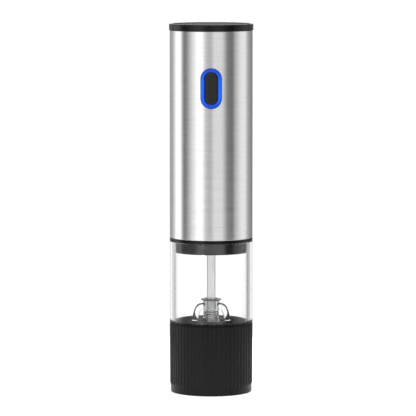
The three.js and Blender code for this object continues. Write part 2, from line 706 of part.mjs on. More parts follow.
const head = assembly('head');
add(head, 'barrel', barrel(), brushedSteel);
add(head, 'motor_housing', motorHousing(), blackPlastic);
add(head, 'output_bush', weld(tube(
  5.1, 6.9, SPIGOT_FOOT_Z + 0.2, OUTPUT_STAGE_Z - 5, 24)), bronze);
add(head, 'motor_can', motorCan(), zincSteel);
add(head, 'motor_end_cap', motorEndCap(), blackPlastic);
add(head, 'wire_positive', motorWire(1), redInsulation);
add(head, 'wire_negative', motorWire(-1), blackInsulation);

const gearbox = assembly('gearbox', head);
add(gearbox, 'gearbox_case', gearboxCase(), nylon);
add(gearbox, 'gearbox_plate', gearboxPlate(), blackPlastic);
add(gearbox, 'output_carrier', outputCarrier(), nylon);
add(gearbox, 'input_carrier', inputCarrier(), nylon);
add(gearbox, 'motor_pinion', motorPinion(), bronze);
for (const [stage, footZ] of [['output', OUTPUT_STAGE_Z], ['input', INPUT_STAGE_Z]]) {
  PLANET_ANGLES.forEach((angle, n) => {
    const planet = add(gearbox, `${stage}_planet_${n + 1}`, planetGear(), nylon);
    const [x, y] = [Math.cos(angle), Math.sin(angle)].map((share) => share * PLANET_ORBIT_R);
    planet.position.set(x, y, footZ);
    planet.rotation.z = planetTurn(angle);
  });
}
for (const [n, side] of [-1, 1].entries()) {
  const fastener = add(gearbox, `gearbox_screw_${n + 1}`, screw(2.6, 1.8, 1.25, 11), zincSteel);
  fastener.position.set(side * GEARBOX_SCREW_X, 0, GEARBOX_TOP_Z + FIT + 2 + FIT);
}

const power = assembly('power', head);
add(power, 'battery_box', batteryBox(), blackPlastic);
CELL_PLACES.forEach(([x, y], n) => {
  const upright = n % 2 === 0;
  const battery = add(power, `battery_${n + 1}`, cell(), cellJacket);
  battery.position.set(x, y, upright ? CELL_FOOT_Z : CELL_FOOT_Z + CELL_LENGTH);
  battery.rotation.x = upright ? 0 : Math.PI;
  const coil = new Helix([4.2, 2.6], [0.4, 3.2], 2);
  const contact = upright
    ? add(power, `contact_spring_${n + 1}`, weld(wire(coil, 0.3, 18, 5)), springSteel)
    : add(power, `contact_plate_${n + 1}`, contactPlate(), springSteel);
  contact.position.set(x, y, upright ? WELL_FOOT_Z + 0.1 : CELL_FOOT_Z - 0.8);
});

const control = assembly('control', head);
add(control, 'light_ring', lightRing(), blueLight);
add(control, 'button', button(), blackPlastic);
add(control, 'switch_board', switchBoard(), boardGreen);
add(control, 'tact_switch', tactSwitch(), blackPlastic);
add(control, 'led_upper', lamp(SWITCH_Z + 9.6), lampWhite);
add(control, 'led_lower', lamp(SWITCH_Z - 9.6), lampWhite);
for (const [n, side] of [-1, 1].entries()) {
  const fastener = add(control, `board_screw_${n + 1}`, screw(1.9, 1.1, 0.8, 4), zincSteel);
  fastener.position.set(0, BOARD_Y - FIT, SWITCH_Z + side * BOARD_SCREW_DZ);
  fastener.rotation.x = Math.PI / 2;
}

const lid = assembly('lid', head);
add(lid, 'contact_carrier', contactCarrier(), blackPlastic);
for (const [n, y] of CELL_ROWS_Y.entries()) {
  add(lid, `contact_strip_${n + 1}`, contactStrip(), springSteel).position.y = y;
}
add(lid, 'top_cap', topCap(), glossBlack);

export default mill;
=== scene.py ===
"""The looks of an electric pepper mill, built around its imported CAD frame.

Shapes are written in millimetres round the mill's own axis, with +Z up and the front towards -Y,
and scaled to metres when their mesh is made.
"""

import math

import bmesh
import bpy
from mathutils import Matrix, Vector
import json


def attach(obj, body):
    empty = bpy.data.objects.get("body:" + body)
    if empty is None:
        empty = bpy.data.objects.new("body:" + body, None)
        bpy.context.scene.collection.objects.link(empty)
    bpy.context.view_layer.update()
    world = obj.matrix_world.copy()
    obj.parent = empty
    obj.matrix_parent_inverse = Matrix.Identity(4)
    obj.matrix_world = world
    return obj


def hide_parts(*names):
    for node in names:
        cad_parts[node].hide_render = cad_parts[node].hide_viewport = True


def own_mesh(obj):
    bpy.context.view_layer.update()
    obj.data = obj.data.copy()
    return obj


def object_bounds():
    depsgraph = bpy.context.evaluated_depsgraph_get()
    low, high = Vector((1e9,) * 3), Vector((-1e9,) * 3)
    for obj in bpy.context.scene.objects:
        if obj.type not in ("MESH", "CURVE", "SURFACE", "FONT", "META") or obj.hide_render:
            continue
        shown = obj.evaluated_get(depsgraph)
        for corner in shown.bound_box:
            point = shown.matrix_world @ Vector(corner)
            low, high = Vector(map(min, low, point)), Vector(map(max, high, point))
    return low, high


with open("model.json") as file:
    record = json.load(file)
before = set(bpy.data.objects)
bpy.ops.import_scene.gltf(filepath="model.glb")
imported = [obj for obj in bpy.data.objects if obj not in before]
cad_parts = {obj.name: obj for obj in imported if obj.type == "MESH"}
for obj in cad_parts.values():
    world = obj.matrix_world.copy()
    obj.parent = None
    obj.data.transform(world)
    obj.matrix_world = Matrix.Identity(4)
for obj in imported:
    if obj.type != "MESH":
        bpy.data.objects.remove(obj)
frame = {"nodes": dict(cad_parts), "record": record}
cad_low, cad_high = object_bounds()
nodes = frame["nodes"]

MM = 0.001
TAU = 2 * math.pi
ROUND = 160                        # sides of the large turned pieces

BODY_R = 25.0
BAND_TOP_Z = 4.5
BASE_TOP_Z = 42.0
FLOOR_Z = 42.8
CHAMBER_Z = (43.0, 91.2)
CHAMBER_BORE_R = 21.7
COLLAR_Z = (91.3, 93.2)
SPIGOT_R = 21.35
SPIGOT_FOOT_Z = 84.4
SLEEVE_R = 24.1
BARREL_TOP_Z = 217.4
CAP_TOP_Z = 221.4
SWITCH_Z = 183.8
RING_SIZE = (12.7, 24.0)
BUTTON_SIZE = (7.7, 18.9)
KEY_TURN = -0.23                   # of the key slot, in radians from the front
HUB_Z = (49.5, 55.2)
SPRING_Z = (45.0, 49.3)
FINGER_TOP_Z = 44.1                # where the burr carries the spring's washer


# ---- Meshes ----

def object_from(bm, name, sharp_angle=32):
    """A welded, outward-facing object from a bmesh in millimetres, smooth except at sharp edges."""
    bmesh.ops.remove_doubles(bm, verts=bm.verts, dist=1e-4)
    bmesh.ops.recalc_face_normals(bm, faces=bm.faces)
    bmesh.ops.scale(bm, vec=(MM, MM, MM), verts=bm.verts)
    mesh = bpy.data.meshes.new(name)
    bm.to_mesh(mesh)
    bm.free()
    mesh.shade_smooth()
    mesh.set_sharp_from_angle(angle=math.radians(sharp_angle))
    obj = bpy.data.objects.new(name, mesh)
    bpy.context.scene.collection.objects.link(obj)
    return obj


def apply_modifiers(obj, sharp_angle=32):
    graph = bpy.context.evaluated_depsgraph_get()
    mesh = bpy.data.meshes.new_from_object(obj.evaluated_get(graph))
    obj.modifiers.clear()
    obj.data = mesh
    mesh.shade_smooth()
    mesh.set_sharp_from_angle(angle=math.radians(sharp_angle))
    return obj


def bevelled(obj, width, segments=2, angle=40):
    modifier = obj.modifiers.new("edges", "BEVEL")
    modifier.width = width * MM
    modifier.segments = segments
    modifier.limit_method = "ANGLE"
    modifier.angle_limit = math.radians(angle)
    modifier.harden_normals = False
    return apply_modifiers(obj)


def combined(obj, other, operation):
    """Joins, cuts or intersects with another object, which is used up."""
    modifier = obj.modifiers.new("combine", "BOOLEAN")
    modifier.operation = operation
    modifier.solver = "EXACT"
    modifier.object = other
    apply_modifiers(obj)
    bpy.data.objects.remove(other)
    return obj


def rounded(corners, steps=5):
    """A closed outline from (across, up, radius) corners, each one rounded to its radius."""
    points = []
    count = len(corners)
    for at, corner in enumerate(corners):
        here = Vector(corner[:2])
        radius = corner[2] if len(corner) > 2 else 0
        if not radius:
            points.append(tuple(here))
            continue
        before = (Vector(corners[at - 1][:2]) - here).normalized()
        after = (Vector(corners[(at + 1) % count][:2]) - here).normalized()
        half = before.angle(after) / 2
        centre = here + (before + after).normalized() * radius / math.sin(half)
        start = here + before * radius / math.tan(half) - centre
        end = here + after * radius / math.tan(half) - centre
        for step in range(steps + 1):
            arm = start.slerp(end, step / steps)
            points.append(tuple(centre + arm.normalized() * radius))
    return points


def held(outline, inset=0.2, shortest=1.0):
    """Adds a point near each end of an outline's long sides, so shading stays flat along them."""
    points = []
    for at, here in enumerate(outline):
        points.append(here)
        side = Vector(outline[(at + 1) % len(outline)]) - Vector(here)
        if side.length > shortest:
            step = side.normalized() * inset
            points += [tuple(Vector(here) + step), tuple(Vector(here) + side - step)]
    return points


def turned(name, corners, sides=ROUND, steps=5, sharp_angle=32):
    """A closed outline of (radius, z, corner radius) corners turned round the mill's axis."""
    outline = held(rounded(corners, steps))
    bm = bmesh.new()
    rings = []
    for radius, z in outline:
        if radius < 1e-6:
            rings.append([bm.verts.new((0, 0, z))] * sides)
            continue
        angles = [TAU * n / sides for n in range(sides)]
        rings.append([bm.verts.new((radius * math.cos(a), radius * math.sin(a), z)) for a in angles])
    for at, ring in enumerate(rings):
        following = rings[(at + 1) % len(rings)]
        for n in range(sides):
            m = (n + 1) % sides
            corner = list(dict.fromkeys((ring[n], ring[m], following[m], following[n])))
            if len(corner) > 2:
                bm.faces.new(corner)
    return object_from(bm, name, sharp_angle)


def lofted(name, sections, sharp_angle=32):
    """A closed body through sections of equally many points, with a face over each end."""
    bm = bmesh.new()
    rings = [[bm.verts.new(point) for point in section] for section in sections]
    for ring, following in zip(rings, rings[1:]):
        for n in range(len(ring)):
            m = (n + 1) % len(ring)
            bm.faces.new((ring[n], ring[m], following[m], following[n]))
    bm.faces.new(rings[0])
    bm.faces.new(rings[-1])
    return object_from(bm, name, sharp_angle)


def closed_loft(name, sections, sharp_angle):
    """A ring-shaped skin through closed sections, the last joined back to the first."""
    bm = bmesh.new()
    loops = [[bm.verts.new(point) for point in section] for section in sections]
    for at, loop in enumerate(loops):
        following = loops[(at + 1) % len(loops)]
        for n in range(len(loop)):
            m = (n + 1) % len(loop)
            bm.faces.new((loop[n], loop[m], following[m], following[n]))
    return object_from(bm, name, sharp_angle)


def prism(name, outline, low, high):
    return lofted(name, [[(x, y, z) for x, y in outline] for z in (low, high)])


def block(name, size, centre, turn=0.0):
    half = Vector(size) / 2
    corners = [(-half.x, -half.y), (half.x, -half.y), (half.x, half.y), (-half.x, half.y)]
    obj = prism(name, corners, -half.z, half.z)
    spin = Matrix.Rotation(turn, 4, "Z")
    obj.data.transform(spin @ Matrix.Translation(Vector(centre) * MM))
    return obj


def swept(name, path, radius, sides=12):
    """A round rod along a path of points, with domed ends."""
    points = [Vector(point) for point in path]
    up = Vector((0, 0, 1))
    sections = []
    last = len(points) - 1
    for at, point in enumerate(points):
        ahead = (points[min(at + 1, last)] - points[max(at - 1, 0)]).normalized()
        side = ahead.cross(up)
        side = side.normalized() if side.length > 1e-3 else Vector((1, 0, 0))
        over = side.cross(ahead)
        shrink = 0.6 if at in (0, last) else 1
        ring = [side * (math.cos(TAU * n / sides) * radius * shrink)
                + over * (math.sin(TAU * n / sides) * radius * shrink) for n in range(sides)]
        sections.append([point + arm for arm in ring])
    return lofted(name, sections, 50)


def smooth_path(points, steps):
    """A Catmull-Rom curve through points."""
    knots = [Vector(point) for point in points]
    knots = [knots[0] * 2 - knots[1]] + knots + [knots[-1] * 2 - knots[-2]]
    path = []
    for at in range(1, len(knots) - 2):
        before, here, there, beyond = knots[at - 1:at + 3]
        for step in range(steps):
            t = step / steps
            path.append(0.5 * (2 * here + (there - before) * t
                               + (2 * before - 5 * here + 4 * there - beyond) * t ** 2
                               + (3 * here - before - 3 * there + beyond) * t ** 3))
    path.append(knots[-2])
    return path


def helix(radii, heights, turns, steps=32, centre=(0, 0)):
    count = int(turns * steps)
    path = []
    for at in range(count + 1):
        share = at / count
        radius = radii[0] + (radii[1] - radii[0]) * share
        angle = TAU * turns * share
        z = heights[0] + (heights[1] - heights[0]) * share
        path.append((centre[0] + radius * math.cos(angle), centre[1] + radius * math.sin(angle), z))
    return path


def slot_outline(size, steps=16):
    """A rounded slot about the origin."""
    radius = size[0] / 2
    straight = size[1] / 2 - radius
    points = []
    for end, start_angle in ((1, 0), (-1, math.pi)):
        for step in range(steps + 1):
            angle = start_angle + math.pi * step / steps
            points.append((radius * math.cos(angle), end * straight + radius * math.sin(angle)))
    return points


def on_barrel(x, dz, radius):
    """A point x across and dz up from the switch's centre, wrapped on an upright cylinder."""
    angle = x / BODY_R
    return (radius * math.sin(angle), -radius * math.cos(angle), SWITCH_Z + dz)


def curved_slot(name, sections, sharp_angle=32):
    """A body through rounded slots on the barrel's curve, each ((width, height), radius)."""
    rings = []
    for size, radius in sections:
        rings.append([on_barrel(x, dz, radius) for x, dz in slot_outline(size)])
    return lofted(name, rings, sharp_angle)


def moved(obj, x=0, turn=0.0):
    """Turns an object's mesh round Z and moves it along X."""
    spin = Matrix.Rotation(turn, 4, "Z")
    obj.data.transform(Matrix.Translation(Vector((x, 0, 0)) * MM) @ spin)
    return obj


# ---- Materials ----

class Look:
    """A node material under construction. Scales are features per metre of the real object."""

    def __init__(self, name, color, roughness, metallic=0.0, **sockets):
        self.material = bpy.data.materials.new(name)
        self.material.use_nodes = True
        self.tree = self.material.node_tree
        self.shader = self.tree.nodes["Principled BSDF"]
        self.shader.inputs["Base Color"].default_value = (*color, 1)
        self.shader.inputs["Roughness"].default_value = roughness
        self.shader.inputs["Metallic"].default_value = metallic
        for socket, value in sockets.items():
            self.shader.inputs[socket.replace("_", " ")].default_value = value
        self.place = self.node("ShaderNodeTexCoord").outputs["Object"]
        self.height = None
        self.rough = roughness
        self.color = color

    def node(self, kind, **settings):
        node = self.tree.nodes.new(kind)
        for key, value in settings.items():
            setattr(node, key, value)
        return node

    def link(self, source, target):
        self.tree.links.new(source, target)

    def noise(self, scale, stretch=(1, 1, 1), detail=3.0, roughness=0.55):
        """Noise with its own scale along each axis: 0 to 1, mostly near 0.5."""
        mapping = self.node("ShaderNodeMapping")
        mapping.inputs["Scale"].default_value = [scale * share for share in stretch]
        self.link(self.place, mapping.inputs["Vector"])
        noise = self.node("ShaderNodeTexNoise")
        noise.inputs["Scale"].default_value = 1
        noise.inputs["Detail"].default_value = detail
        noise.inputs["Roughness"].default_value = roughness
        self.link(mapping.outputs["Vector"], noise.inputs["Vector"])
        return noise.outputs["Fac"]

    def mapped(self, value, low, high, source=(0.3, 0.7)):
        """Maps a value's usual range to low..high."""
        node = self.node("ShaderNodeMapRange")
        for key, number in zip(("From Min", "From Max", "To Min", "To Max"), (*source, low, high)):
            node.inputs[key].default_value = number
        self.link(value, node.inputs["Value"])
        return node.outputs["Result"]

    def math(self, operation, first, second):
        node = self.node("ShaderNodeMath", operation=operation)
        for socket, value in zip(node.inputs, (first, second)):
            if isinstance(value, (int, float)):
                socket.default_value = value
            else:
                self.link(value, socket)
        return node.outputs[0]

    def mix(self, share, first, second):
        """A colour between two colours."""
        node = self.node("ShaderNodeMix", data_type="RGBA")
        sockets = (node.inputs[0], node.inputs[6], node.inputs[7])
        for socket, value in zip(sockets, (share, first, second)):
            if isinstance(value, (tuple, list)):
                socket.default_value = (*value[:3], 1)
            elif isinstance(value, float):
                socket.default_value = value
            else:
                self.link(value, socket)
        return node.outputs[2]

    def tint(self, share, first, second):
        """Varies the colour between two colours."""
        self.link(self.mix(share, first, second), self.shader.inputs["Base Color"])
        return self

    def shine(self, share, low, high, source=(0.3, 0.7)):
        """Varies the roughness from low to high."""
        self.link(self.mapped(share, low, high, source), self.shader.inputs["Roughness"])
        return self

    def relief(self, value, depth_mm, strength=1.0):
        """Adds a bump of that real depth. The last one called is nearest the surface."""
        bump = self.node("ShaderNodeBump")
        bump.inputs["Strength"].default_value = strength
        bump.inputs["Distance"].default_value = depth_mm * MM
        self.link(value, bump.inputs["Height"])
        if self.height is not None:
            self.link(self.height, bump.inputs["Normal"])
        self.height = bump.outputs["Normal"]
        self.link(self.height, self.shader.inputs["Normal"])
        return self

    def edge_wear(self, low=0.52, high=0.6):
        """About 1 on convex edges, and 0 elsewhere."""
        point = self.node("ShaderNodeNewGeometry").outputs["Pointiness"]
        return self.mapped(point, 0, 1, (low, high))


def lighter(color, share):
    return tuple(min(1, channel * share) for channel in color)


def plastic(name, color, roughness, grain=0.004, **sockets):
    """Moulded plastic: fine spark-eroded grain, faint flow marks and rubbed edges."""
    look = Look(name, color, roughness, **sockets)
    fine = look.noise(5000, detail=2)
    flow = look.noise(90, (1, 1, 0.4))
    worn = look.edge_wear()
    base = look.mix(look.mapped(flow, 0, 1), color, lighter(color, 1.25))
    look.tint(look.math("MULTIPLY", worn, 0.3), base, lighter(color, 1.8))
    look.shine(flow, roughness - 0.05, roughness + 0.06)
    look.relief(fine, grain)
    return look


def metal(name, color, roughness, lines=(1, 1, 1), scale=3000, depth=0.002, **sockets):
    """Drawn or turned metal: fine lines along the work and uneven polish."""
    look = Look(name, color, roughness, 1.0, **sockets)
    fine = look.noise(scale, lines, detail=3)
    cloud = look.noise(160)
    look.tint(look.mapped(fine, 0, 1), lighter(color, 0.9), lighter(color, 1.06))
    look.shine(cloud, roughness - 0.06, roughness + 0.08)
    look.relief(fine, depth)
    return look


def brushed_steel():
    """Stainless sheet brushed round the barrel, so its highlights stretch along the barrel."""
    look = Look("brushed_steel", (0.765, 0.765, 0.768), 0.22, 1.0,
                Anisotropic=0.85, Anisotropic_Rotation=0.25)
    tangent = look.node("ShaderNodeTangent", direction_type="RADIAL", axis="Z")
    look.link(tangent.outputs["Tangent"], look.shader.inputs["Tangent"])
    fine = look.noise(120, (1, 1, 60), detail=4)
    broad = look.noise(60, (1, 1, 22), detail=3)
    lines = look.math("ADD", look.math("MULTIPLY", fine, 0.6), look.math("MULTIPLY", broad, 0.4))
    look.tint(look.mapped(lines, 0, 1, (0.36, 0.64)), (0.71, 0.71, 0.713), (0.81, 0.81, 0.813))
    look.shine(lines, 0.18, 0.27)
    look.relief(lines, 0.003)
    return look


def clear_plastic(name, color, roughness=0.02, ripple=0.001):
    look = Look(name, color, roughness, Transmission_Weight=1.0, IOR=1.49)
    wave = look.noise(45, detail=1)
    fine = look.noise(900, detail=2)
    look.tint(look.mapped(wave, 0, 1), color, lighter(color, 0.985))
    look.shine(fine, roughness * 0.5, roughness * 2)
    look.relief(wave, ripple)
    return look


def blue_light():
    """The lit ring: a milky blue bezel, brightest on its crest and along its straight sides."""
    deep = (0.001, 0.022, 0.24)
    bright = (0.002, 0.16, 0.95)
    look = Look("blue_light", deep, 0.2, Emission_Strength=0.85, Specular_IOR_Level=0.3)
    cloud = look.noise(110, (1, 1, 0.6), detail=2)
    look.tint(look.mapped(cloud, 0, 1), deep, lighter(deep, 1.5))
    flat = look.node("ShaderNodeVectorMath", operation="MULTIPLY")
    flat.inputs[1].default_value = (1, 1, 0)
    look.link(look.place, flat.inputs[0])
    from_axis = look.node("ShaderNodeVectorMath", operation="LENGTH")
    look.link(flat.outputs["Vector"], from_axis.inputs[0])
    crest = look.mapped(from_axis.outputs["Value"], 0, 1, ((BODY_R - 0.15) * MM, (BODY_R + 0.15) * MM))
    axes = look.node("ShaderNodeSeparateXYZ")
    look.link(look.place, axes.inputs[0])
    from_middle = look.math("ABSOLUTE", look.math("SUBTRACT", axes.outputs["Z"], SWITCH_Z * MM), 0.0)
    side = look.mapped(from_middle, 1, 0.3, (4 * MM, 11 * MM))
    share = look.math("MULTIPLY", crest, look.mapped(cloud, 0.7, 1, (0.35, 0.65)))
    share = look.math("MULTIPLY", share, side)
    look.link(look.mix(share, deep, bright), look.shader.inputs["Emission Color"])
    look.shine(cloud, 0.16, 0.26)
    look.relief(look.noise(1500), 0.004)
    return look


def ceramic():
    look = Look("ceramic", (0.8, 0.78, 0.72), 0.5)
    speck = look.noise(2600, detail=4)
    look.tint(look.mapped(speck, 0, 1), (0.72, 0.69, 0.62), (0.84, 0.82, 0.77))
    look.shine(speck, 0.42, 0.62)
    look.relief(speck, 0.02)
    return look


def circuit_board():
    look = Look("board_green", (0.012, 0.09, 0.035), 0.35)
    weave = look.node("ShaderNodeTexWave", wave_type="BANDS", bands_direction="Z")
    weave.inputs["Scale"].default_value = 1200
    weave.inputs["Distortion"].default_value = 1.5
    look.link(look.place, weave.inputs["Vector"])
    tracks = look.noise(700, (1, 0.2, 1), detail=0)
    look.tint(look.mapped(tracks, 0, 1, (0.48, 0.52)), (0.01, 0.075, 0.03), (0.02, 0.15, 0.06))
    look.shine(tracks, 0.3, 0.42)
    look.relief(weave.outputs["Fac"], 0.01)
    return look


def cell_jacket():
    """A plain dark sleeve with a fine grain along the cell."""
    look = Look("battery_jacket", (0.03, 0.032, 0.036), 0.28, 0.6)
    flow = look.noise(200, (1, 1, 0.1))
    look.tint(look.mapped(flow, 0, 1), (0.022, 0.024, 0.028), (0.05, 0.052, 0.058))
    look.shine(flow, 0.22, 0.36)
    look.relief(look.noise(2500, (1, 1, 0.2)), 0.003)
    return look


LOOKS = {
    "brushed_steel": brushed_steel(),
    "black_plastic": plastic("black_plastic", (0.004, 0.004, 0.0042), 0.27,
                             Specular_IOR_Level=0.2),
    "black_matt": plastic("black_matt", (0.012, 0.012, 0.0122), 0.75, grain=0.02,
                          Specular_IOR_Level=0.1),
    "black_satin": plastic("black_satin", (0.02, 0.02, 0.0202), 0.6, grain=0.01,
                           Specular_IOR_Level=0.35),
    "black_polish": plastic("black_polish", (0.003, 0.003, 0.0032), 0.12, grain=0.001,
                            Specular_IOR_Level=0.25),
    "dark_spring": metal("dark_spring", (0.16, 0.16, 0.165), 0.3, (1, 1, 1), 2500),
    "black_gloss": plastic("black_gloss", (0.003, 0.003, 0.0032), 0.2, grain=0.0015,
                           Specular_IOR_Level=0.3),
    "button_black": plastic("button_black", (0.01, 0.01, 0.0104), 0.42, grain=0.006,
                            Specular_IOR_Level=0.35),
    "clear_acrylic": clear_plastic("clear_acrylic", (0.97, 0.975, 0.976)),
    "clear_bridge": clear_plastic("clear_bridge", (0.97, 0.975, 0.98), 0.05, 0.004),
    "shaft_steel": metal("shaft_steel", (0.84, 0.84, 0.84), 0.36, (1, 1, 0.04), 4000, 0.004),
    "spring_steel": metal("spring_steel", (0.66, 0.655, 0.64), 0.25, (1, 1, 1), 2500),
    "ceramic": ceramic(),
    "nylon": plastic("nylon", (0.7, 0.69, 0.64), 0.42, grain=0.006, Subsurface_Weight=0.15),
    "bronze": metal("bronze", (0.6, 0.4, 0.2), 0.36, (1, 1, 8), 900, 0.004),
    "zinc_steel": metal("zinc_steel", (0.62, 0.64, 0.66), 0.34, (1, 1, 4), 1500, 0.004),
    "motor_steel": metal("motor_steel", (0.55, 0.56, 0.57), 0.38, (1, 1, 30), 150, 0.006),
    "blue_light": blue_light(),
    "battery_jacket": cell_jacket(),
    "board_green": circuit_board(),
    "lamp_white": plastic("lamp_white", (0.7, 0.78, 0.95), 0.25, grain=0.002),
    "red_insulation": plastic("red_insulation", (0.35, 0.012, 0.01), 0.4, grain=0.004),
    "black_insulation": plastic("black_insulation", (0.012, 0.012, 0.013), 0.4, grain=0.004),
}
NODE_SLOT = {part["node"]: part["material_slot"] for part in frame["record"]["subparts"]}
NODE_BODY = {name: body for body, members in frame["record"]["behaviour"]["bodies"].items()
             for name in members}


def dressed(obj, slot):
    obj.data.materials.clear()
    obj.data.materials.append(LOOKS[slot].material)
    return obj


def stands_for(obj, node, look=None):
    """Shows a finer piece in place of a CAD node: on its body, with its slot's look or a variant."""
    slot = NODE_SLOT[node]
    dressed(obj, look or slot)
    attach(obj, NODE_BODY[node])
    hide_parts(node)
    return obj


def goes_with(obj, node, slot, look=None):
    """Adds a piece that moves with a CAD node's body. Its look may be a variant of its slot's."""
    dressed(obj, look or slot)
    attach(obj, NODE_BODY[node])
    return obj


# ---- Camera, light and stage ----

STAND_OFF = 1.93                   # from the camera to the mill, along the floor
CAMERA_Z = 0.290
SIDE_STEP = -0.0019                # the mill stands a little right of the picture's middle
MIDDLE_Z = (cad_low.z + cad_high.z) / 2

camera = bpy.data.objects.new("camera", bpy.data.cameras.new("camera"))
bpy.context.scene.collection.objects.link(camera)
camera.data.lens = 279.3
camera.data.sensor_width = 36
camera.data.clip_end = 20
camera.location = (SIDE_STEP, -STAND_OFF, CAMERA_Z)
look_at = Vector((SIDE_STEP, 0, MIDDLE_Z))
camera.rotation_euler = (look_at - camera.location).to_track_quat("-Z", "Y").to_euler()
bpy.context.scene.camera = camera
bpy.context.scene.view_settings.view_transform = "Standard"

# Brightness of the studio round the mill, by azimuth in degrees from the front towards +X.
STUDIO = [
    (-180, 1.2), (-172, 1.2), (-163, 0.4), (-135, 0.48), (-121, 0.9), (-114, 1.4), (-95, 1.4),
    (-88, 0.55), (-81, 0.15), (-70, 0.33), (-60, 0.7), (-44, 1.2), (-38, 1.4), (-25, 1.4),
    (-19, 0.88), (-14, 0.63), (-3, 0.5), (3, 0.64), (8, 0.87), (30, 0.87), (45, 0.25),
    (61, 0.15), (70, 0.5), (87, 0.92), (100, 1.05), (112, 0.93), (121, 0.5), (140, 0.32),
    (161, 0.24), (170, 1.2), (180, 1.2),
]
# The same for what is seen through clear plastic: a white backdrop with darker flanks.
BACKDROP = [
    (-180, 1.25), (-159, 1.25), (-153, 0.8), (-147, 0.65), (-136, 0.6), (-130, 0.12),
    (-118, 0.15), (-105, 0.5), (-75, 0.5), (-62, 0.15), (-50, 0.1), (-35, 1.05), (35, 1.05),
    (50, 0.1), (62, 0.15), (75, 0.5), (105, 0.5), (118, 0.15), (130, 0.12), (136, 0.43),
    (147, 0.52), (153, 0.7), (159, 1.25), (180, 1.25),
]
STUDIO_MAX = 1.5


def azimuth_background(tree, share, levels):
    """A background whose brightness goes by azimuth."""
    node = tree.nodes.new("ShaderNodeValToRGB")
    stops = node.color_ramp.elements
    for at, (azimuth, brightness) in enumerate(levels):
        position = (azimuth + 180) / 360
        if at in (0, len(levels) - 1):
            stop = stops[0 if at == 0 else len(stops) - 1]
        else:
            stop = stops.new(position)
        stop.position = position
        level = brightness / STUDIO_MAX
        stop.color = (level, level, level, 1)
    tree.links.new(share, node.inputs["Fac"])
    background = tree.nodes.new("ShaderNodeBackground")
    background.inputs["Strength"].default_value = STUDIO_MAX
    tree.links.new(node.outputs["Color"], background.inputs["Color"])
    return background.outputs[0]


def studio_world():
    """Tall soft reflectors all round the mill. The camera itself sees plain white."""
    world = bpy.data.worlds.new("studio")
    bpy.context.scene.world = world
    world.use_nodes = True
    tree = world.node_tree
    tree.nodes.clear()
    coords = tree.nodes.new("ShaderNodeTexCoord")
    parts = tree.nodes.new("ShaderNodeSeparateXYZ")
    tree.links.new(coords.outputs["Generated"], parts.inputs[0])
    back = tree.nodes.new("ShaderNodeMath")
    back.operation = "MULTIPLY"
    back.inputs[1].default_value = -1
    tree.links.new(parts.outputs["Y"], back.inputs[0])
    angle = tree.nodes.new("ShaderNodeMath")
    angle.operation = "ARCTAN2"
    tree.links.new(parts.outputs["X"], angle.inputs[0])
    tree.links.new(back.outputs[0], angle.inputs[1])
    share = tree.nodes.new("ShaderNodeMapRange")
    share.inputs["From Min"].default_value = -math.pi
    share.inputs["From Max"].default_value = math.pi
    tree.links.new(angle.outputs[0], share.inputs["Value"])
    around = azimuth_background(tree, share.outputs["Result"], STUDIO)
    behind = azimuth_background(tree, share.outputs["Result"], BACKDROP)
    plain = tree.nodes.new("ShaderNodeBackground")
    plain.inputs["Color"].default_value = (1, 1, 1, 1)
    plain.inputs["Strength"].default_value = 1.05
    path = tree.nodes.new("ShaderNodeLightPath")
    seen = around
    for ray, background in (("Is Transmission Ray", behind), ("Is Camera Ray", plain.outputs[0])):
        mix = tree.nodes.new("ShaderNodeMixShader")
        tree.links.new(path.outputs[ray], mix.inputs["Fac"])
        tree.links.new(seen, mix.inputs[1])
        tree.links.new(background, mix.inputs[2])
        seen = mix.outputs[0]
    output = tree.nodes.new("ShaderNodeOutputWorld")
    tree.links.new(seen, output.inputs["Surface"])


def soft_light(name, place, size, power):
    light = bpy.data.lights.new(name, "AREA")
    light.shape = "RECTANGLE"
    light.size, light.size_y = size
    light.energy = power
    obj = bpy.data.objects.new(name, light)
    obj.location = place
    obj.rotation_euler = (Vector((0, 0, 0.1)) - obj.location).to_track_quat("-Z", "Y").to_euler()
    obj.visible_camera = False
    bpy.context.scene.collection.objects.link(obj)


def white_floor():
    bm = bmesh.new()
    bmesh.ops.create_circle(bm, cap_ends=True, radius=250, segments=96)
    floor = object_from(bm, "floor")
    floor.location.z = -0.0002
    look = Look("floor_white", (0.9, 0.9, 0.9), 0.7, Emission_Strength=0.65)
    look.shader.inputs["Emission Color"].default_value = (1, 1, 1, 1)
    seen = look.node("ShaderNodeLightPath").outputs["Is Camera Ray"]
    look.link(look.mapped(seen, 0.3, 0.65, (0, 1)), look.shader.inputs["Emission Strength"])
    look.relief(look.noise(300), 0.01)
    floor.data.materials.append(look.material)


studio_world()
white_floor()
soft_light("top_softbox", (0.1, -0.35, 1.3), (0.7, 0.7), 6)


# ---- Base and grinder ----

RIB_COUNT = 60
RIB_TOP_R = 24.95
RIB_FOOT_R = 24.75
RIB_DEPTH = 0.42
BASE_BORE_R = 22.6
BAND_R = 24.4


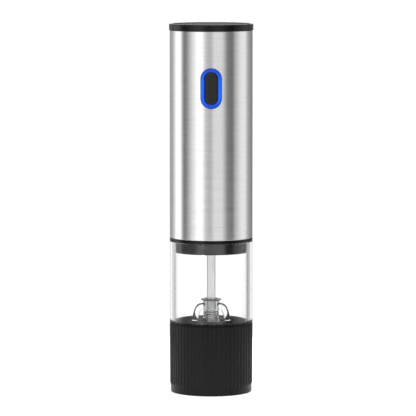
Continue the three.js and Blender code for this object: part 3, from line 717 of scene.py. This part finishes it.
def base_ring():
    """The skirt: round-topped ribs that fade into the band at the foot and end under the trim."""
    per_rib = 10
    sides = RIB_COUNT * per_rib
    heights = [BAND_TOP_Z - 0.3, BAND_TOP_Z + 0.1, BAND_TOP_Z + 0.6, BAND_TOP_Z + 1.2, 8, 14, 22, 30,
               BASE_TOP_Z - 1.2, BASE_TOP_Z - 0.5, BASE_TOP_Z - 0.15, BASE_TOP_Z]
    sections = []

    def ring(radius, z, depth=0.0):
        points = []
        for n in range(sides):
            share = (n % per_rib) / per_rib
            crest = max(0.0, math.cos(TAU * share)) ** 0.6 if depth else 1
            r = radius - depth * (1 - crest)
            angle = TAU * n / sides
            points.append((r * math.cos(angle), r * math.sin(angle), z))
        return points

    sections.append(ring(BASE_BORE_R, 0))
    for radius, z in ((BAND_R - 0.55, 0), (BAND_R - 0.25, 0.08), (BAND_R - 0.06, 0.3), (BAND_R, 0.6),
                      (BAND_R + 0.02, 2.4), (BAND_R + 0.03, BAND_TOP_Z - 0.6)):
        sections.append(ring(radius, z))
    for z in heights:
        share = (z - BAND_TOP_Z) / (BASE_TOP_Z - BAND_TOP_Z)
        full = RIB_FOOT_R + (RIB_TOP_R - RIB_FOOT_R) * max(0, share)
        foot = min(1, max(0, (z - BAND_TOP_Z + 0.3) / 1.5))
        foot = foot * foot * (3 - 2 * foot)
        top = min(1, (BASE_TOP_Z - z) / 0.5)
        top = 1 - (1 - top) ** 2
        radius = BAND_R + 0.03 + (full - BAND_R - 0.03) * foot
        radius -= 0.35 * (1 - top)
        sections.append(ring(radius, z, RIB_DEPTH * foot))
    sections.append(ring(BASE_BORE_R, BASE_TOP_Z))
    return closed_loft("base_skirt", sections, 50)


stands_for(base_ring(), "base_ring")

TRIM_Z = (BASE_TOP_Z + 0.1, CHAMBER_Z[0] - 0.04)
stands_for(turned("grinder_seat_floor", [
    (7.4, 41.2, 0.2), (13.2, 41.2, 0.2), (13.2, 21.6), (15.2, 21.6, 0.3), (15.2, 40.2, 0.3),
    (20.6, 40.2, 0.3), (20.6, 33), (22.3, 33, 0.4), (22.3, TRIM_Z[0], 0.1),
    (24.9, TRIM_Z[0], 0.2), (24.9, TRIM_Z[1], 0.25), (21.4, TRIM_Z[1], 0.05),
    (21.0, FLOOR_Z, 0.15), (20.7, FLOOR_Z, 0.1), (20.7, FLOOR_Z - 0.3), (7.4, FLOOR_Z - 0.3),
]), "grinder_seat")
goes_with(turned("grinder_floor_face", [
    (7.4, FLOOR_Z - 0.28), (20.65, FLOOR_Z - 0.28),
    (20.65, FLOOR_Z - 0.05, 0.1), (7.4, FLOOR_Z - 0.05, 0.2),
]), "grinder_seat", "black_plastic", "black_matt")

stands_for(turned("clear_chamber", [
    (CHAMBER_BORE_R, CHAMBER_Z[0], 0.15), (BODY_R, CHAMBER_Z[0], 0.15),
    (BODY_R, CHAMBER_Z[1], 0.2), (CHAMBER_BORE_R, CHAMBER_Z[1], 0.2),
], 192), "chamber")
# Painted shadow: a thin matt black ring inside the chamber's clear foot, a dark sheet standing in for the
# shadow gap under the chamber's bottom edge.
goes_with(turned("chamber_foot_shadow_ring", [
    (CHAMBER_BORE_R + 0.15, CHAMBER_Z[0] + 0.03), (BODY_R - 0.3, CHAMBER_Z[0] + 0.03),
    (BODY_R - 0.3, CHAMBER_Z[0] + 0.18), (CHAMBER_BORE_R + 0.15, CHAMBER_Z[0] + 0.18),
], 192), "chamber", "black_plastic", "black_matt")


def bridge():
    """The clear arched bridge: two round-edged legs from a thin-walled hub."""
    hub = turned("clear_bridge", [
        (4.7, HUB_Z[0], 0.15), (5.2, HUB_Z[0], 0.2), (5.2, HUB_Z[1], 0.3), (4.7, HUB_Z[1], 0.15),
    ], 64)
    outer = smooth_path([(4.7, 0, 53.6), (6.6, 0, 53.4), (8.6, 0, 52.3), (10.1, 0, 49.6),
                         (11.1, 0, 46.2), (11.7, 0, 42.9)], 8)
    inner = smooth_path([(4.7, 0, 49.8), (5.7, 0, 49.5), (6.5, 0, 48.3), (7.1, 0, 46.5),
                         (7.5, 0, 44.8), (7.8, 0, 42.9)], 8)
    for turn in (0, math.pi):
        sections = []
        for far, near in zip(outer, inner):
            middle = (far + near) / 2
            arm = (far - near) / 2
            section = []
            for n in range(28):
                angle = TAU * n / 28
                across, along = math.cos(angle), math.sin(angle)
                power = 0.75
                across = math.copysign(abs(across) ** power, across)
                along = math.copysign(abs(along) ** power, along)
                section.append(middle + arm * across + Vector((0, 2.2 * along, 0)))
            sections.append(section)
        leg = lofted("leg", sections, 60)
        moved(leg, turn=turn)
        combined(hub, leg, "UNION")
    bore = turned("bore", [(0, 40), (4.65, 40), (4.65, 60), (0, 60)], 64)
    return combined(hub, bore, "DIFFERENCE")


stands_for(bridge(), "bridge")


def square_bar(name, size, radius, low, high):
    """A drawn square bar with rounded corners and eased ends."""
    half = size / 2
    outline = rounded([(-half, -half, radius), (half, -half, radius),
                       (half, half, radius), (-half, half, radius)], 4)

    def section(z, inset):
        share = 1 - inset / half
        return [(x * share, y * share, z) for x, y in outline]

    return lofted(name, [section(low, 0.25), section(low + 0.25, 0), section(high - 0.25, 0),
                         section(high, 0.25)], 25)


def threaded_stem(low, high, radius, pitch):
    """A coarse screw thread, as rings of rounded crests."""
    corners = [(0, low), (radius - 0.5, low)]
    z = low + 0.5
    while z < high - pitch:
        corners += [(radius, z, 0.1), (radius - 0.35, z + pitch / 2, 0.1)]
        z += pitch
    corners += [(radius, high - 0.2), (radius, high), (0, high)]
    return turned("stem", corners, 32, 2)


shaft = square_bar("drive_bar", 5.2, 0.8, 24.2, 89)
combined(shaft, threaded_stem(9, 24.5, 2.4, 0.8), "UNION")
stands_for(shaft, "drive_shaft")

FLANGE_Z = (HUB_Z[1] + 0.2, HUB_Z[1] + 1)
stands_for(turned("shaft_flange", [
    (3.9, FLANGE_Z[0], 0.1), (6.25, FLANGE_Z[0], 0.3), (6.25, FLANGE_Z[1], 0.3), (3.9, FLANGE_Z[1], 0.1),
], 96), "shaft_washer", look="dark_spring")

stands_for(turned("hub_bearing", [
    (3.75, HUB_Z[0] + 0.2, 0.15), (4.6, HUB_Z[0] + 0.2, 0.15),
    (4.6, HUB_Z[1] - 0.1, 0.15), (3.75, HUB_Z[1] - 0.1, 0.15),
], 64), "hub_bush")

coil = swept("burr_coil", helix((4.45, 4.45), (SPRING_Z[0] + 0.5, SPRING_Z[1] - 0.5), 3, 40), 0.45, 12)
stands_for(coil, "burr_spring")
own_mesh(coil)

WASHER_Z = (FINGER_TOP_Z + 0.2, FINGER_TOP_Z + 0.7)
stands_for(turned("coil_washer", [
    (4.15, WASHER_Z[0], 0.1), (4.9, WASHER_Z[0], 0.15),
    (4.9, WASHER_Z[1], 0.15), (4.15, WASHER_Z[1], 0.1),
], 64), "spring_washer")


def burr_profile(teeth, root, tip, per_tooth=8):
    """A toothed outline: each tooth rises slowly, and drops steeply with rounded corners."""
    points = []
    for tooth in range(teeth):
        for step in range(per_tooth):
            share = step / per_tooth
            rise = min(1, share / 0.7) if share < 0.82 else max(0, 1 - (share - 0.82) / 0.18)
            radius = root + (tip - root) * rise
            points.append((radius, TAU * (tooth + share) / teeth))
    return points


CONE_Z = (24, 36)
CONE_TIP_R = 9.8                   # over the teeth at the wide lower end
CONE_TOP_R = 6.2
NECK_TOP_Z = 40.9


def rotor():
    """The turning burr: slanted teeth on a cone, a neck, and a square hole for the shaft. Its feed flight
    is a separate piece.
    """
    profile = burr_profile(18, 8.9, CONE_TIP_R)
    low, high = CONE_Z
    sections = []
    for step in range(13):
        share = step / 12
        scale = 1 + (CONE_TOP_R / CONE_TIP_R - 1) * share
        turn = -0.35 * share
        sections.append([(r * scale * math.cos(a + turn), r * scale * math.sin(a + turn),
                          low + (high - low) * share) for r, a in profile])
    cone = lofted("grinding_rotor", sections, 40)
    neck = turned("neck", [(0, 35.5), (5.2, 35.5), (5.2, NECK_TOP_Z, 0.4), (0, NECK_TOP_Z)], 48)
    combined(cone, neck, "UNION")
    hole = square_bar("hole", 5.8, 0.55, 20, 45)
    return combined(cone, hole, "DIFFERENCE")


stands_for(rotor(), "rotor_burr")


def flight(start, end, low_z, high_z, reach=(3.1, 5.3), thickness=0.55):
    """A curved feed blade that climbs round the shaft from one angle to another."""
    sections = []
    for step in range(25):
        share = step / 24
        angle = start + (end - start) * share
        z = low_z + (high_z - low_z) * share
        c, s = math.cos(angle), math.sin(angle)
        corners = rounded([(reach[0], z - thickness / 2), (reach[1], z - thickness / 2, 0.2),
                           (reach[1], z + thickness / 2, 0.2), (reach[0], z + thickness / 2)], 3)
        sections.append([(r * c, r * s, up) for r, up in corners])
    return lofted("feed_flight", sections, 40)


blade = flight(-1.15, 0.75, 41.35, 43.8)
goes_with(blade, "rotor_burr", "nylon")


# ---- Head ----

SLEEVE_TOP_Z = 147.9
SLEEVE_BORE_R = 22.6
SPIGOT_BORE_R = 19.55
SPIGOT_FLOOR_Z = SPIGOT_FOOT_Z + 1.6
POST_X = 17.4
POST_TOP_Z = 105.4
TICK_Z = 87.2
TICK_TURNS = (0.07, 0.11, 0.15, 0.19, 0.23, 0.27)


def motor_housing():
    """The collar with its keyed spigot below, and the sleeve inside the barrel."""
    housing = turned("collar_housing", [
        (7, SPIGOT_FOOT_Z, 0.3), (SPIGOT_R, SPIGOT_FOOT_Z, 0.5), (SPIGOT_R, COLLAR_Z[0], 0.25),
        (BODY_R, COLLAR_Z[0], 0.35), (BODY_R, COLLAR_Z[1], 0.35), (SLEEVE_R, COLLAR_Z[1], 0.1),
        (SLEEVE_R, SLEEVE_TOP_Z, 0.4), (SLEEVE_BORE_R, SLEEVE_TOP_Z), (SLEEVE_BORE_R, COLLAR_Z[1]),
        (SPIGOT_BORE_R, COLLAR_Z[0]), (SPIGOT_BORE_R, SPIGOT_FLOOR_Z), (7, SPIGOT_FLOOR_Z, 0.3),
    ], 160)
    for x in (-POST_X, POST_X):
        post = turned("post", [
            (0, SPIGOT_FOOT_Z + 1), (2.5, SPIGOT_FOOT_Z + 1), (2.5, POST_TOP_Z, 0.2), (0, POST_TOP_Z)], 32)
        combined(housing, moved(post, x=x), "UNION")
        hole = turned("hole", [(0, 95), (1.5, 95), (1.5, 106), (0, 106)], 24)
        combined(housing, moved(hole, x=x), "DIFFERENCE")
    slot_height = COLLAR_Z[0] - SPIGOT_FOOT_Z
    slot = block("slot", (1.6, 4.4, slot_height),
                 (0, -SPIGOT_R, COLLAR_Z[0] - slot_height / 2 - 0.3), KEY_TURN)
    return combined(housing, slot, "DIFFERENCE")


stands_for(motor_housing(), "motor_housing", look="black_polish")
for n, turn in enumerate(TICK_TURNS):
    height = 2.4 if n % 5 == 0 else 1.5
    tick = bevelled(block(f"collar_tick_{n + 1}", (0.35, 0.5, height),
                          (0, -SPIGOT_R, TICK_Z), turn), 0.08)
    goes_with(tick, "motor_housing", "black_plastic")


def barrel():
    """The steel sleeve, with a pressed opening for the light ring."""
    bore = 24.4
    wall = turned("steel_barrel", [
        (bore, COLLAR_Z[1] + 0.1, 0.1), (BODY_R, COLLAR_Z[1] + 0.1, 0.2),
        (BODY_R, BARREL_TOP_Z, 0.2), (bore, BARREL_TOP_Z, 0.1),
    ], 256)
    opening = [size + 0.3 for size in RING_SIZE]
    cutter = curved_slot("cutter", [(opening, 20), (opening, 30)])
    return combined(wall, cutter, "DIFFERENCE")


stands_for(barrel(), "barrel")


def light_ring():
    """A raised bezel with a rounded section round the button."""
    width, height = RING_SIZE
    hole_w, hole_h = (size + 0.6 for size in BUTTON_SIZE)
    band = (width - hole_w) / 2
    top_r = BODY_R + 0.2
    sections = [((width, height), 22.8), ((width, height), BODY_R - 0.15)]
    for step in range(1, 10):
        share = step / 10
        inset = band * share
        lift = math.sin(math.pi * share) ** 0.5
        sections.append(((width - 2 * inset, height - 2 * inset),
                         BODY_R - 0.15 + (top_r - BODY_R + 0.15) * lift))
    sections += [((hole_w, hole_h), BODY_R - 0.15), ((hole_w, hole_h), 22.8)]
    rings = [[on_barrel(x, dz, radius) for x, dz in slot_outline(size)] for size, radius in sections]
    return closed_loft("light_bezel", rings, 45)


stands_for(light_ring(), "light_ring")


def button():
    """A pillowed oval key."""
    width, height = BUTTON_SIZE
    sections = [((width, height), 22.7), ((width, height), BODY_R - 0.35)]
    for step in range(1, 9):
        inset = 1.6 * (step / 8) ** 1.6
        lift = 1 - (1 - step / 8) ** 2.4
        sections.append(((width - 2 * inset, height - 2 * inset), BODY_R - 0.35 + 0.62 * lift))
    return curved_slot("power_button", sections, 60)


stands_for(button(), "button")


# ---- Lid ----

CAP_R = 25.3
CAP_BORE_R = 22.6
PLUG_FOOT_Z = 211
CAP_CEILING_Z = 219.2
POST_FOOT_Z = 210

stands_for(turned("cap_shell", [
    (2.5, POST_FOOT_Z), (4.2, POST_FOOT_Z, 0.2), (4.2, CAP_CEILING_Z),
    (CAP_BORE_R, CAP_CEILING_Z), (CAP_BORE_R, PLUG_FOOT_Z), (SLEEVE_R, PLUG_FOOT_Z, 0.4),
    (SLEEVE_R, BARREL_TOP_Z + 0.1, 0.1), (CAP_R, BARREL_TOP_Z + 0.1, 0.3), (CAP_R, CAP_TOP_Z, 0.4),
    (23.6, CAP_TOP_Z, 0.25), (23.2, CAP_TOP_Z - 0.7, 0.1), (0, CAP_TOP_Z - 0.7), (0, 215), (2.5, 215),
], 192), "top_cap")
goes_with(turned("cap_top_face", [
    (0, CAP_TOP_Z - 0.68), (23.1, CAP_TOP_Z - 0.68),
    (23.1, CAP_TOP_Z - 0.4, 0.15), (0, CAP_TOP_Z - 0.4),
], 192), "top_cap", "black_gloss", "black_satin")

stands_for(turned("contact_plate_holder", [
    (0, 207.1), (21, 207.1, 0.3), (21, 208.7, 0.3), (6, 208.7, 0.2), (6, 209.6, 0.3),
    (2.2, 209.6), (2.2, 214.5, 0.4), (0, 214.5),
], 96), "contact_carrier")


# ---- Carried-over CAD nodes ----

for name, obj in nodes.items():
    if not obj.hide_render:
        dressed(obj, NODE_SLOT[name])
        obj.data.shade_smooth()
        obj.data.set_sharp_from_angle(angle=math.radians(35))
